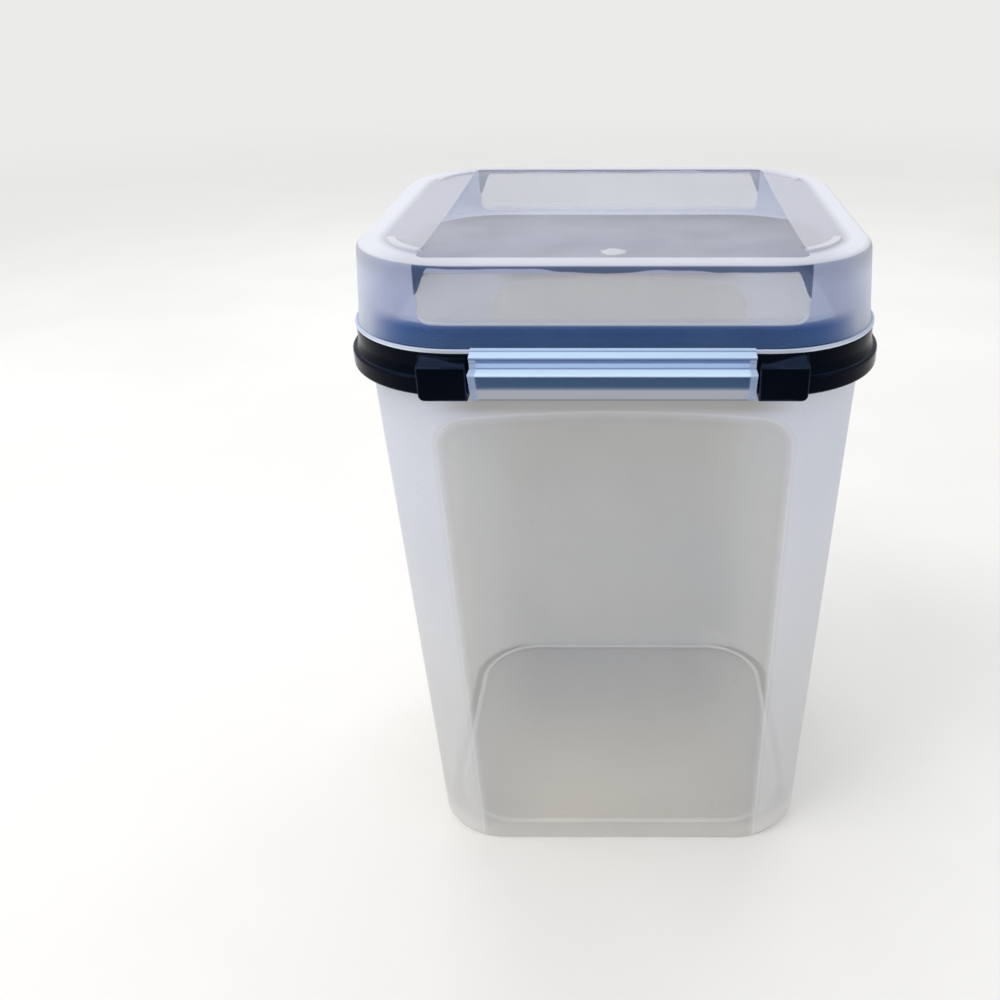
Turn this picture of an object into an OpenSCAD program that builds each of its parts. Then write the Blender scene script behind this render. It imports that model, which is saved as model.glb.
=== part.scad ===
// Rice bin with a flip lid, in millimetres.
// A tapered tub carries a clipped collar. A domed lid turns on two pins at the back of the
// collar, and a clear latch flap hangs from the lid's front edge between two bosses.
// The bin stands on z = 0 and its front faces -Y.
// All outlines share four corner axes, so a wall is drawn once as a section (distance from
// a corner axis, height) and carried round the corners and along the sides.

/* [Tub] */
// Width of the tub's base
base_w = 221; // [180:1:260]
// Depth of the tub's base
base_d = 195; // [160:1:240]
// Corner radius of the tub's base
base_r = 40.5; // [34:0.5:48]
// Height of the tub's rim
body_h = 315; // [240:1:340]
// Lean of the tub's walls in degrees
draft = 1.95; // [1:0.05:2.5]
// Thickness of the tub's walls
wall = 2.2; // [1.6:0.1:3]
// Thickness of the tub's floor
floor_t = 2.6; // [2:0.1:4]
// Radius of the tub's outer bottom edge
heel_r = 3; // [1.5:0.5:5]
// Radius between the floor and the walls inside
floor_fillet = 7; // [4:0.5:10]
// Width of the band that the tub stands on
foot_band = 10; // [7:0.5:14]
// Corner radius inside the foot band
foot_r = 38; // [30:0.5:44]
// Depth of the recess inside the foot band
foot_h = 1.8; // [1:0.1:3]
// How far the snap bead under the tub's rim stands out
snap_bead = 1.2; // [0.8:0.1:1.6]

/* [Collar] */
// Thickness of the outer band
band_t = 2.8; // [2.2:0.1:3.6]
// Height of the band below its ledge
band_h = 19.4; // [16:0.2:24]
// How far the lower bead stands out from the band
bead_out = 3.1; // [2:0.1:4]
// Height of the lower bead
bead_h = 8.8; // [7:0.2:11]
// Thickness of the ledge that the lid rests on
ledge_t = 2.2; // [1.6:0.1:3]
// Thickness of the rim wall inside the lid
rim_t = 2.4; // [1.8:0.1:3]
// Height of the rim wall above the ledge
rim_h = 10.6; // [8:0.2:14]
// Depth of the rim wall inside the tub
lip_h = 11; // [8:0.5:16]
// Thickness of the gasket on the tub's rim
gasket_t = 1.2; // [0.8:0.1:2]

/* [Bosses] */
// Width of a boss
boss_w = 22; // [16:1:26]
// How far a boss stands out from the band
boss_out = 8.5; // [6:0.1:11]
// Height of a boss
boss_h = 16; // [13:0.2:17]
// Wall of a boss
boss_wall = 1.8; // [1.4:0.1:2.6]
// How far the catch lug stands out from a boss
lug_out = 1; // [0.6:0.1:1.2]

/* [Lid] */
// Height of the dome above the ledge
dome_h = 39.2; // [32:0.2:60]
// Thickness of the lid
lid_t = 2; // [1.6:0.1:2.6]
// Lean of the dome's walls in degrees
dome_draft = 5; // [3:0.5:7]
// Radius of the dome's shoulder
shoulder_r = 4; // [3:0.5:8]
// Thickness of the flange
flange_t = 1.9; // [1.4:0.1:2.4]
// How far the flange stands out from the dome's wall
flange_out = 1.9; // [1.2:0.1:3]
// How far the stacking lugs lie inside the dome's wall
stack_inset = 16; // [12:0.5:20]
// Width of the stacking lugs
stack_w = 4.8; // [3:0.2:6]
// Height of the stacking lugs
stack_h = 1.2; // [0.6:0.1:2]
// Turn of a stacking lug round its corner in degrees
stack_turn = 42; // [30:1:60]
// Height of the lip seal
seal_h = 3.6; // [3:0.2:5]

/* [Latch] */
// Width of the latch flap, which the bosses stand beside
flap_w = 126.4; // [100:0.2:134]
// Height of the flap below its hinge
flap_h = 18.1; // [15:0.1:20]
// How far the flap's shelf stands out
shelf_out = 6.7; // [5:0.1:9]
// Drop from the hinge to the shelf
shelf_drop = 3.7; // [3:0.1:5]
// Thickness of the flap's walls
flap_t = 1.8; // [1.4:0.1:2.2]
// Reach of the hinge in front of the lid's flange
hinge_reach = 5.8; // [5:0.1:7]
// Radius of the flap's hinge bead
bead_r = 0.9; // [0.7:0.05:1.1]

/* [Rear hinge] */
// Distance between the middles of the two hinges
hinge_span = 104; // [70:1:110]
// Width of a lid arm
arm_w = 14; // [10:0.5:18]
// Width of each collar ear
ear_w = 6; // [4:0.5:8]
// Radius of the knuckles
knuckle_r = 4.5; // [4:0.1:5]
// Radius of a hinge pin
pin_r = 2.2; // [1.6:0.1:2.6]
// How far the lid opens in degrees
open_angle = 110; // [95:1:120]

/* [Clearances] */
// Clearance between pieces that fit inside one another
fit_gap = 0.3; // [0.2:0.05:0.4]
// Radial clearance of a pin in a lid arm
run_gap = 0.06; // [0.03:0.01:0.1]
// Radial clearance of a pin in a collar ear
press_gap = 0.02; // [0.01:0.01:0.03]

/* [Hidden] */
$fn = 96;
arc_steps = 6;
sliver = 0.01;

// Corner axes
span_x = base_w / 2 - base_r;
span_y = base_d / 2 - base_r;

// Tub levels and radii about the corner axes
lean = tan(draft);
floor_top = foot_h + floor_t;
rim_r = base_r + body_h * lean;
snap_drop = 2;
snap_h = 4;
snap_rise = 1;
snap_lead = 1.5;
snap_top = body_h - snap_drop;
snap_bottom = snap_top - snap_h;

// Collar levels and radii
web_z = body_h + gasket_t;
ledge_z = web_z + ledge_t;
rim_top = ledge_z + rim_h;
band_bottom = ledge_z - band_h;
bead_top = band_bottom + bead_h;
band_in = rim_r + snap_bead + fit_gap;
band_out = band_in + band_t;
bead_edge = band_out + bead_out;
lip_bottom = web_z - lip_h;
rim_out = tub_radius(lip_bottom) - wall - fit_gap;
rim_in = rim_out - rim_t;
hook_in = tub_radius(snap_bottom) + fit_gap;
hook_h = 5;
bead_round = 1.2;
bead_slope = 0.2;
flare_r = 10;
flare_out = 1.2;
rim_chamfer = 0.6;
seal_groove = 0.5;
seal_rise = 3;
seal_z = ledge_z + seal_rise;

// Recess of the collar between the bosses, which clears the flap
recess_wall = 1.3;
recess_roof = 2.4;
recess_foot = 2;
recess_in = band_in + recess_wall;
recess_top = ledge_z - recess_roof;
recess_bottom = band_bottom + recess_foot;

// Boss levels
boss_gap = flap_w + 2 * (lug_out + fit_gap);
boss_in_x = boss_gap / 2;
boss_drop = 2.9;
boss_edge_r = 2.5;
boss_root = 0.5;
boss_front = span_y + band_out + boss_out;
boss_top = ledge_z - boss_drop;
boss_bottom = boss_top - boss_h;
lug_h = 3.5;
lug_drop = 9;
lug_depth = 3;
lug_inset = 0.5;

// Lid levels and radii
dome_lean = tan(dome_draft);
top_z = ledge_z + dome_h;
flange_z = ledge_z + fit_gap;
flange_top = flange_z + flange_t;
flange_r = band_out + fit_gap;
flange_edge = 0.6;
flange_root = 0.7;
stack_ring = dome_radius(top_z) - stack_inset;
stack_start = 17;

// Latch hinge and flap
latch_drop = 1.1;
latch_y = -(span_y + flange_r + hinge_reach);
latch_z = flange_z - latch_drop;
socket_r = bead_r + run_gap;
socket_wall = 0.8;
web_t = 0.8;
flap_edge = 0.4;
flap_lean = 5.3;
flap_lip = 0.8;
flap_lip_h = 1;
foot_out = shelf_out - flap_lean;
end_t = 1.4;
end_back = 3;
end_rise = 6;
end_drop = 2;

// Rear hinge
knuckle_gap = 1.2;
hinge_drop = 1.9;
heel_drop = 3;
arm_rise = 11;
arm_t = 2;
pin_over = 0.6;
hinge_y = span_y + band_out + knuckle_gap + knuckle_r;
hinge_z = ledge_z - hinge_drop;
ear_reach = arm_w / 2 + fit_gap + ear_w;

// Radius of the tub's outside about a corner axis at height z
function tub_radius(z) = base_r + z * lean;

// Radius of the dome's outside about a corner axis at height z
function dome_radius(z) = flange_r - flange_out - (z - flange_top) * dome_lean;

// Points of an arc in a section, from angle a to angle b
function arc(centre, r, a, b) = [
    for (i = [0:arc_steps])
        centre + r * [cos(a + (b - a) * i / arc_steps), sin(a + (b - a) * i / arc_steps)]
];

// Carries a section round the four corners and along the four sides
module around() {
    for (turn = [0, 180])
        rotate([0, 0, turn])
            straight_side(span_x, 2 * span_y)
                children();
    for (turn = [90, 270])
        rotate([0, 0, turn])
            straight_side(span_y, 2 * span_x)
                children();
    for (corner = [[1, 1, 0], [-1, 1, 90], [-1, -1, 180], [1, -1, 270]])
        translate([corner[0] * span_x, corner[1] * span_y, 0])
            rotate([0, 0, corner[2]])
                rotate_extrude(angle = 90)
                    children();
}

// One straight side of a section, facing +X
module straight_side(reach, length) {
    translate([reach, length / 2, 0])
        rotate([90, 0, 0])
            linear_extrude(height = length)
                children();
}

// The flat middle between the corner axes, which closes a section that starts at zero
module middle(bottom, top) {
    translate([-span_x, -span_y, bottom])
        cube([2 * span_x, 2 * span_y, top - bottom]);
}

// A side section (depth, height) drawn out along X, centred on x
module across(x, width) {
    translate([x - width / 2, 0, 0])
        rotate([90, 0, 90])
            linear_extrude(height = width)
                children();
}

module rounded_rectangle(w, d, r) {
    square([w - 2 * r, d], center = true);
    square([w, d - 2 * r], center = true);
    for (x = [-1, 1], y = [-1, 1])
        translate([x * (w / 2 - r), y * (d / 2 - r)])
            circle(r);
}

module tub_section() {
    inner_start = floor_top + floor_fillet;
    fillet_centre = [tub_radius(inner_start) - wall - floor_fillet, inner_start];
    polygon(concat(
        [[0, 0]],
        arc([tub_radius(heel_r) - heel_r, heel_r], heel_r, -90, 0),
        [
            [tub_radius(snap_bottom), snap_bottom],
            [rim_r + snap_bead, snap_bottom + snap_rise],
            [rim_r + snap_bead, snap_top - snap_lead],
            [tub_radius(snap_top), snap_top],
            [rim_r, body_h],
            [rim_r - wall, body_h],
        ],
        arc(fillet_centre, floor_fillet, 0, -90),
        [[0, floor_top]]
    ));
}

module bin_body() {
    color([0.84, 0.86, 0.89])
        difference() {
            union() {
                around() tub_section();
                middle(0, floor_top);
            }
            translate([0, 0, -1])
                linear_extrude(height = foot_h + 1)
                    rounded_rectangle(base_w - 2 * foot_band, base_d - 2 * foot_band, foot_r);
        }
}

module collar_section() {
    bead_axis = bead_edge - bead_round;
    flare_turn = acos(1 - flare_out / flare_r);
    flare_z = bead_top + bead_slope + flare_r * sin(flare_turn);
    polygon(concat(
        [
            [rim_in, lip_bottom],
            [rim_out, lip_bottom],
            [rim_out, web_z],
            [band_in, web_z],
            [band_in, snap_bottom],
            [hook_in, snap_bottom - fit_gap],
            [hook_in, snap_bottom - fit_gap - snap_rise],
            [band_in, snap_bottom - hook_h],
            [band_in, band_bottom],
            [bead_axis, band_bottom],
        ],
        arc([bead_axis, band_bottom + bead_round], bead_round, -80, 0),
        arc([bead_axis, bead_top - bead_round], bead_round, 0, 80),
        arc([band_out + flare_r, flare_z], flare_r, 180 + flare_turn, 180),
        [
            [band_out, ledge_z],
            [rim_out, ledge_z],
            [rim_out, seal_z - seal_h / 2],
            [rim_out - seal_groove, seal_z - seal_h / 2],
            [rim_out - seal_groove, seal_z + seal_h / 2],
            [rim_out, seal_z + seal_h / 2],
            [rim_out, rim_top - rim_chamfer],
            [rim_out - rim_chamfer, rim_top],
            [rim_in + rim_chamfer, rim_top],
            [rim_in, rim_top - rim_chamfer],
        ]
    ));
}

// A boss seen from the front, with its outer bottom corner rounded
module boss_face() {
    difference() {
        square([boss_w, boss_h]);
        translate([boss_w - boss_edge_r, -sliver])
            difference() {
                square(boss_edge_r + sliver);
                translate([0, boss_edge_r + sliver]) circle(boss_edge_r);
            }
    }
}

// The boss on the right, rooted in the band and open underneath
module boss() {
    root = band_in + boss_root;
    difference() {
        translate([boss_in_x, 0, boss_bottom])
            rotate([90, 0, 0])
                difference() {
                    translate([0, 0, span_y])
                        linear_extrude(height = boss_front - span_y)
                            boss_face();
                    translate([boss_wall, -1, span_y + bead_edge])
                        cube([
                            boss_w - 2 * boss_wall,
                            boss_h - boss_wall + 1,
                            boss_front - boss_wall - span_y - bead_edge,
                        ]);
                }
        translate([0, 0, boss_bottom - 1])
            linear_extrude(height = boss_h + 2)
                rounded_rectangle(2 * (span_x + root), 2 * (span_y + root), root);
    }
    translate([boss_in_x - lug_out, lug_inset - boss_front, boss_top - lug_drop - lug_h])
        cube([lug_out + boss_wall, lug_depth, lug_h]);
}

// An ear of the rear hinge, seen from the side
module ear_face() {
    root = span_y + band_in + boss_root;
    foot = bead_top - knuckle_r / 2;
    translate([hinge_y, hinge_z]) circle(knuckle_r);
    polygon([
        [root, foot],
        [root, ledge_z],
        [span_y + band_out, ledge_z],
        [hinge_y, hinge_z + knuckle_r],
        [hinge_y, hinge_z],
        [hinge_y + knuckle_r * cos(45), hinge_z - knuckle_r * sin(45)],
        [span_y + band_out + knuckle_gap, foot],
    ]);
}

module collar_ring() {
    color([0.03, 0.035, 0.06])
        difference() {
            union() {
                difference() {
                    around() collar_section();
                    translate([-boss_in_x - boss_wall, -span_y - bead_edge - 1, band_bottom - 1])
                        cube([
                            boss_gap + 2 * boss_wall,
                            bead_edge - recess_in + 1,
                            recess_top - band_bottom + 1,
                        ]);
                    translate([-boss_in_x, -span_y - bead_edge - 1, band_bottom - 1])
                        cube([boss_gap, bead_edge - band_in + 2, recess_bottom - band_bottom + 1]);
                }
                boss();
                mirror([1, 0, 0]) boss();
                for (side = [-1, 1], ear = [-1, 1])
                    across(side * hinge_span / 2 + ear * (ear_reach - ear_w / 2), ear_w)
                        ear_face();
            }
            for (side = [-1, 1])
                translate([side * hinge_span / 2 - ear_reach - 1, hinge_y, hinge_z])
                    rotate([0, 90, 0])
                        cylinder(h = 2 * ear_reach + 2, r = pin_r + press_gap);
        }
}

module collar_gasket() {
    lip_gap = 0.2;
    color([0.8, 0.82, 0.85])
        around()
            translate([rim_out + lip_gap, body_h])
                square([rim_r + snap_bead - rim_out - lip_gap, gasket_t]);
}

module lid_seal_section() {
    root = rim_out - seal_groove;
    face = rim_out + 0.5;
    fin_root = rim_out + 0.9;
    fin_t = 0.6;
    tip = dome_radius(seal_z) - lid_t / cos(dome_draft) - fit_gap;
    polygon([
        [root, seal_z - seal_h / 2],
        [face, seal_z - seal_h / 2],
        [tip, seal_z - 1.5 * fin_t],
        [tip, seal_z - fin_t / 2],
        [fin_root, seal_z + fin_t / 2],
        [face, seal_z + seal_h / 2],
        [root, seal_z + seal_h / 2],
    ]);
}

module lid_seal() {
    color([0.1, 0.11, 0.13])
        around() lid_seal_section();
}

module hinge_pin() {
    length = 2 * (ear_reach + pin_over);
    chamfer = 0.4;
    rotate([0, 90, 0])
        rotate_extrude()
            polygon([
                [0, -length / 2],
                [pin_r - chamfer, -length / 2],
                [pin_r, chamfer - length / 2],
                [pin_r, length / 2 - chamfer],
                [pin_r - chamfer, length / 2],
                [0, length / 2],
            ]);
}

module hinge_pin_left() {
    color([0.05, 0.055, 0.08])
        translate([-hinge_span / 2, hinge_y, hinge_z]) hinge_pin();
}

module hinge_pin_right() {
    color([0.05, 0.055, 0.08])
        translate([hinge_span / 2, hinge_y, hinge_z]) hinge_pin();
}

module dome_section() {
    slant = lid_t / cos(dome_draft);
    shoulder_z = top_z - shoulder_r;
    shoulder = [dome_radius(shoulder_z) - shoulder_r / cos(dome_draft), shoulder_z];
    polygon(concat(
        [[0, top_z]],
        arc(shoulder, shoulder_r, 90, dome_draft),
        [
            [dome_radius(flange_top + flange_root), flange_top + flange_root],
            [dome_radius(flange_top) + flange_root, flange_top],
            [flange_r - flange_edge, flange_top],
            [flange_r, flange_top - flange_edge],
            [flange_r, flange_z],
            [dome_radius(flange_z) - slant, flange_z],
        ],
        arc(shoulder, shoulder_r - lid_t, dome_draft, 90),
        [[0, top_z - lid_t]]
    ));
}

// Raised arcs on the corners of the top, for another bin to stand on
module stacking_lugs() {
    for (x = [0, 1], y = [0, 1])
        mirror([x, 0, 0]) mirror([0, y, 0])
            translate([span_x, span_y, top_z - lid_t / 2])
                rotate([0, 0, stack_start])
                    rotate_extrude(angle = stack_turn)
                        translate([stack_ring - stack_w / 2, 0])
                            square([stack_w, lid_t / 2 + stack_h]);
}

// The front tab and the socket of the latch hinge, seen from the side
module tab_face() {
    front = -(span_y + flange_r);
    root = front + flange_out + lid_t / 3;
    slope = 1;
    nose = 0.4;
    mouth = 6;
    difference() {
        union() {
            polygon([
                [root, flange_z],
                [root, flange_top],
                [front - nose, flange_top],
                [front - 2 * nose, flange_top - nose],
                [latch_y + nose, flange_top - slope],
                [latch_y - nose, flange_top - slope - nose],
                [latch_y, latch_z],
                [latch_y + socket_r + nose, flange_z],
            ]);
            translate([latch_y, latch_z]) circle(socket_r + socket_wall);
        }
        translate([latch_y, latch_z]) circle(socket_r);
        translate([latch_y, latch_z])
            polygon(concat([[0, 0]], [for (a = [-50:-45:-230]) mouth * [cos(a), sin(a)]]));
    }
}

// An arm of the rear hinge with its stop heel, seen from the side
module arm_face() {
    // The heel meets the band, one clearance away, when the lid is fully open
    meet = [-(hinge_y - span_y - band_out - fit_gap), -heel_drop];
    heel = [
        meet[0] * cos(open_angle) - meet[1] * sin(open_angle),
        meet[0] * sin(open_angle) + meet[1] * cos(open_angle),
    ];
    arm_top = flange_top + arm_rise;
    wall_y = span_y + dome_radius(arm_top) - lid_t / 2;
    translate([hinge_y, hinge_z]) circle(knuckle_r);
    polygon([
        [span_y + dome_radius(flange_z) - lid_t / 2, flange_z],
        [wall_y, arm_top],
        [wall_y + arm_t, arm_top],
        [span_y + flange_r + flange_edge, flange_top + arm_t],
        [hinge_y, hinge_z + knuckle_r],
        [hinge_y, hinge_z],
        [hinge_y - knuckle_r * cos(30), hinge_z + knuckle_r * sin(30)],
    ]);
    translate([hinge_y, hinge_z])
        polygon([
            [0, 0],
            knuckle_r * [cos(20), sin(20)],
            heel,
            knuckle_r * [cos(-80), sin(-80)],
        ]);
}

module lid_dome() {
    color([0.82, 0.85, 0.93])
        difference() {
            union() {
                around() dome_section();
                middle(top_z - lid_t, top_z);
                stacking_lugs();
                across(0, flap_w) tab_face();
                for (side = [-1, 1])
                    across(side * hinge_span / 2, arm_w) arm_face();
            }
            for (side = [-1, 1])
                translate([side * hinge_span / 2 - arm_w / 2 - 1, hinge_y, hinge_z])
                    rotate([0, 90, 0])
                        cylinder(h = arm_w + 2, r = pin_r + run_gap);
        }
}

// The front of the flap in section about its hinge, from the shelf down to the foot
function flap_front() = [
    [web_t / 2, -shelf_drop],
    [flap_edge - shelf_out, -shelf_drop],
    [-shelf_out, -shelf_drop - flap_edge],
    [-foot_out, flap_edge - flap_h],
    [flap_edge - foot_out, -flap_h],
    [flap_t + flap_lip - foot_out, -flap_h],
];

// The bead, web, shelf and front wall of the flap
module flap_walls() {
    under = -shelf_drop - flap_t;
    circle(bead_r);
    translate([-web_t / 2, under]) square([web_t, -under]);
    polygon(concat(
        flap_front(),
        [
            [flap_t + flap_lip - foot_out, flap_lip_h - flap_h],
            [flap_t - flap_edge - foot_out, flap_lip_h + flap_lip - flap_h],
            [flap_t - shelf_out, under],
            [web_t / 2, under],
        ]
    ));
}

// An end plate of the flap
module flap_end() {
    polygon(concat(
        flap_front(),
        [
            [end_back, end_rise - flap_h],
            [end_back, -shelf_drop - end_drop],
        ]
    ));
}

module latch_flap() {
    color([0.78, 0.86, 0.97])
        translate([0, latch_y, latch_z]) {
            across(0, flap_w) flap_walls();
            for (side = [-1, 1])
                across(side * (flap_w - end_t) / 2, end_t) flap_end();
        }
}

bin_body();
collar_ring();
collar_gasket();
lid_seal();
hinge_pin_left();
hinge_pin_right();
lid_dome();
latch_flap();
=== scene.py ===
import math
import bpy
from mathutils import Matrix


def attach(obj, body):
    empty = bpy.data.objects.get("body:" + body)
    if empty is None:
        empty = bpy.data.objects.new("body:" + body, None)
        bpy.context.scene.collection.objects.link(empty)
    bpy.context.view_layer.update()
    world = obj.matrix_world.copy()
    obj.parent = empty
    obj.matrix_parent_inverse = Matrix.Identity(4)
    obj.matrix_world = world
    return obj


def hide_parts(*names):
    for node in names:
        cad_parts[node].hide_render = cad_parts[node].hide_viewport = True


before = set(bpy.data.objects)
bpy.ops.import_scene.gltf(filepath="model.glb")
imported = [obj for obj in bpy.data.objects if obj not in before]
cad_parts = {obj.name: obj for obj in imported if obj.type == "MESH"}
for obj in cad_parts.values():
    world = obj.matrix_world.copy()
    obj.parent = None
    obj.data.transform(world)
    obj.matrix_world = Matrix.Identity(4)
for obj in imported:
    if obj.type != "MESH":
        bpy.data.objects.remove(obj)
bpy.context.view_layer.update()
# The looks of the rice bin: every visible shell is swept again from the CAD values with its
# finer edges, and every surface gets a procedural plastic or rubber.
from types import SimpleNamespace

import bmesh
import bpy
from mathutils import Matrix, Vector

MM = 0.001
BACKGROUND = (0.83, 0.83, 0.82, 1)
SHARP = 40  # degrees between two faces, from where their edge isn't shaded smooth

# Sizes in millimetres, as in the CAD model
base_w, base_d, base_r = 221, 195, 40.5
body_h, wall, floor_t = 315, 2.2, 2.6
draft = math.tan(math.radians(1.95))
heel_r, floor_fillet, foot_band, foot_r, foot_h = 3, 7, 10, 38, 1.8
snap_bead = 1.2
band_t, band_h, bead_out, bead_h = 2.8, 19.4, 3.1, 8.8
ledge_t, rim_t, rim_h, lip_h, gasket_t = 2.2, 2.4, 10.6, 11, 1.2
boss_w, boss_out, boss_h, boss_wall, lug_out = 22, 8.5, 16, 1.8, 1
boss_rise = 2.4  # of a boss's top, from its front to inside the band. The CAD's is level
dome_h, lid_t, shoulder_r = 39.2, 2, 4
dome_draft = math.radians(5)
flange_t, flange_out = 1.9, 1.9
stack_inset, stack_w, stack_h, stack_start, stack_turn = 16, 4.8, 1.2, 17, 42
flap_w, flap_h, shelf_out, shelf_drop, flap_t = 126.4, 18.1, 6.7, 3.7, 1.8
foot_out = shelf_out - 5.3
hinge_reach, bead_r = 5.8, 0.9
hinge_span, arm_w, ear_w, knuckle_r, pin_r = 104, 14, 6, 4.5, 2.2
open_angle = math.radians(110)
fit_gap, run_gap = 0.3, 0.06

# Levels and radii about the four corner axes
span_x, span_y = base_w / 2 - base_r, base_d / 2 - base_r
floor_top = foot_h + floor_t
rim_r = base_r + body_h * draft
web_z = body_h + gasket_t
ledge_z = web_z + ledge_t
rim_top = ledge_z + rim_h
band_bottom = ledge_z - band_h
bead_top = band_bottom + bead_h
band_in = rim_r + snap_bead + fit_gap
band_out = band_in + band_t
bead_edge = band_out + bead_out
lip_bottom = web_z - lip_h
snap_top, snap_bottom = body_h - 2, body_h - 6
recess_in, recess_top, recess_bottom = band_in + 1.3, ledge_z - 2.4, band_bottom + 2
boss_in = flap_w / 2 + lug_out + fit_gap
boss_front = span_y + band_out + boss_out
boss_top = ledge_z - 2.9
boss_bottom = boss_top - boss_h
top_z = ledge_z + dome_h
flange_z = ledge_z + fit_gap
flange_top = flange_z + flange_t
flange_r = band_out + fit_gap
latch_y, latch_z = -(span_y + flange_r + hinge_reach), flange_z - 1.1
hinge_y, hinge_z = span_y + band_out + 1.2 + knuckle_r, ledge_z - 1.9
ear_reach = arm_w / 2 + fit_gap + ear_w

# The polished windows of the tub and the lid. A border is the width of a window's soft edge
window_turn = 17.4  # degrees round the corner from the front, where the tub's window ends
window_top, window_r, window_step, window_border = 288.4, 15, 0.14, 1.3
window_arch, arch_half_w = 3.0, 64  # how far its top edge falls, and where from the middle
lid_window = 86  # half width
lid_window_low, lid_window_high, lid_window_r, lid_step, lid_border = 331, 353.4, 5, 0.45, 0.9
# The top window's half width and depth, its corners, and how far its sides draw in at the middle
top_window_w, top_window_d, top_window_r, top_waist = 85.6, 97.8, 5, 1
# The painted dark reflection over each side window of the lid, with a wedge at its ends, and the
# gate's mark
line_low, line_high, line_end, wedge_w, wedge_h = 354.2, 356.2, 86.8, 7.3, 12
gate_y, gate_r = -88.5, 5.4


def tub_radius(z):
    """The tub's outside, from the corner axes."""
    return base_r + z * draft


rim_out = tub_radius(lip_bottom) - wall - fit_gap
rim_in = rim_out - rim_t


def dome_radius(z):
    """The lid's outside, from the corner axes."""
    return flange_r - flange_out - (z - flange_top) * math.tan(dome_draft)


def arc(centre, r, start, end, steps=6):
    """Points of an arc in degrees, from start to end."""
    turns = [math.radians(start + (end - start) * i / steps) for i in range(steps + 1)]
    return [(centre[0] + r * math.cos(t), centre[1] + r * math.sin(t)) for t in turns]


def smooth_step(x):
    """0 below 0 and 1 above 1, with a smooth rise between them."""
    x = min(1, max(0, x))
    return x * x * (3 - 2 * x)


# ---------------------------------------------------------------- meshes


def ring_path(corner, cuts_x=(0.5,), cuts_y=(0.5,)):
    """Columns of a sweep: (corner axis as shares of the spans, direction in degrees), turning
    anticlockwise. corner holds angles from the front or back face towards the side face, and
    cuts are the shares of a straight side where it is divided."""
    columns = []
    axes = [(1, 1), (-1, 1), (-1, -1), (1, -1)]
    for k, axis in enumerate(axes):
        turns = [90 - b for b in reversed(corner)] if k % 2 == 0 else list(corner)
        columns += [(axis, 90 * k + t) for t in turns]
        following = axes[(k + 1) % 4]
        for cut in cuts_x if k % 2 == 0 else cuts_y:
            middle = tuple(a + (b - a) * cut for a, b in zip(axis, following))
            columns.append((middle, 90 * k + 90))
    return columns


def place(column, rho, z, shift=0):
    """The point of a column at rho, with the corner axes moved in by shift."""
    (u, v), turn = column
    x = u * (span_x - shift) + rho * math.cos(math.radians(turn))
    y = v * (span_y - shift) + rho * math.sin(math.radians(turn))
    return Vector((x, y, z))


def finish_mesh(name, bm, skins=()):
    """Cleans the bmesh, in millimetres, and makes an object of it in metres. skins are the
    materials that its faces point to."""
    bmesh.ops.remove_doubles(bm, verts=bm.verts, dist=0.0005)
    bmesh.ops.dissolve_degenerate(bm, edges=bm.edges, dist=0.0005)
    bmesh.ops.recalc_face_normals(bm, faces=bm.faces)
    for face in bm.faces:
        face.smooth = True
    mesh = bpy.data.meshes.new(name)
    bm.to_mesh(mesh)
    bm.free()
    for skin in skins:
        mesh.materials.append(skin)
    mesh.transform(Matrix.Scale(MM, 4))
    mesh.set_sharp_from_angle(angle=math.radians(SHARP))
    body = bpy.data.objects.new(name, mesh)
    bpy.context.scene.collection.objects.link(body)
    return body


def sweep(bm, section, columns, closed=True, shape=None, inside_from=math.inf):
    """Carries a section round the path. A section that isn't closed starts and ends at rho 0.
    From its point inside_from on, it is the inside of a shell, with a material of its own."""
    rings = []
    for column in columns:
        ring = []
        for point in section:
            if shape:
                point = shape(column, *point)
            ring.append(bm.verts.new(place(column, *point)))
        rings.append(ring)
    rows = len(section)
    for ring, following in zip(rings, rings[1:] + rings[:1]):
        for i in range(rows if closed else rows - 1):
            j = (i + 1) % rows
            face = bm.faces.new((ring[i], following[i], following[j], ring[j]))
            face.material_index = int(i >= inside_from)
    if not closed:
        bm.faces.new([ring[0] for ring in rings])
        bm.faces.new([ring[-1] for ring in reversed(rings)]).material_index = 1


def prism(bm, profile, low, high, bevel=0.3, sharp=25):
    """A profile (y, z) drawn out along X from low to high, with its sharp edges rounded."""
    made = bmesh.new()
    ends = [[made.verts.new((x, *p)) for p in profile] for x in (low, high)]
    made.faces.new(ends[0])
    made.faces.new(list(reversed(ends[1])))
    count = len(profile)
    for i in range(count):
        j = (i + 1) % count
        made.faces.new((ends[0][i], ends[1][i], ends[1][j], ends[0][j]))
    bmesh.ops.recalc_face_normals(made, faces=made.faces)
    if bevel:
        round_edges(made, bevel, sharp)
    copy_into(bm, made)


def round_edges(bm, offset, sharp):
    """Rounds the edges that turn by more than sharp degrees."""
    limit = math.radians(sharp)
    edges = [e for e in bm.edges if len(e.link_faces) == 2 and e.calc_face_angle() > limit]
    bmesh.ops.bevel(
        bm, geom=edges, offset=offset, segments=2, affect="EDGES", profile=0.5,
        clamp_overlap=True,
    )


def copy_into(bm, made):
    """Adds the bmesh made, which is used up, to bm."""
    mesh = bpy.data.meshes.new("part")
    made.to_mesh(mesh)
    made.free()
    bm.from_mesh(mesh)
    bpy.data.meshes.remove(mesh)


def combined(body, other, operation):
    """The body after an exact boolean with another, which is used up."""
    step = body.modifiers.new("step", "BOOLEAN")
    step.object, step.operation, step.solver = other, operation, "EXACT"
    depsgraph = bpy.context.evaluated_depsgraph_get()
    mesh = bpy.data.meshes.new_from_object(body.evaluated_get(depsgraph))
    body.modifiers.clear()
    body.data = mesh
    bpy.data.objects.remove(other)
    return body


# ---------------------------------------------------------------- the tub


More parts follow.
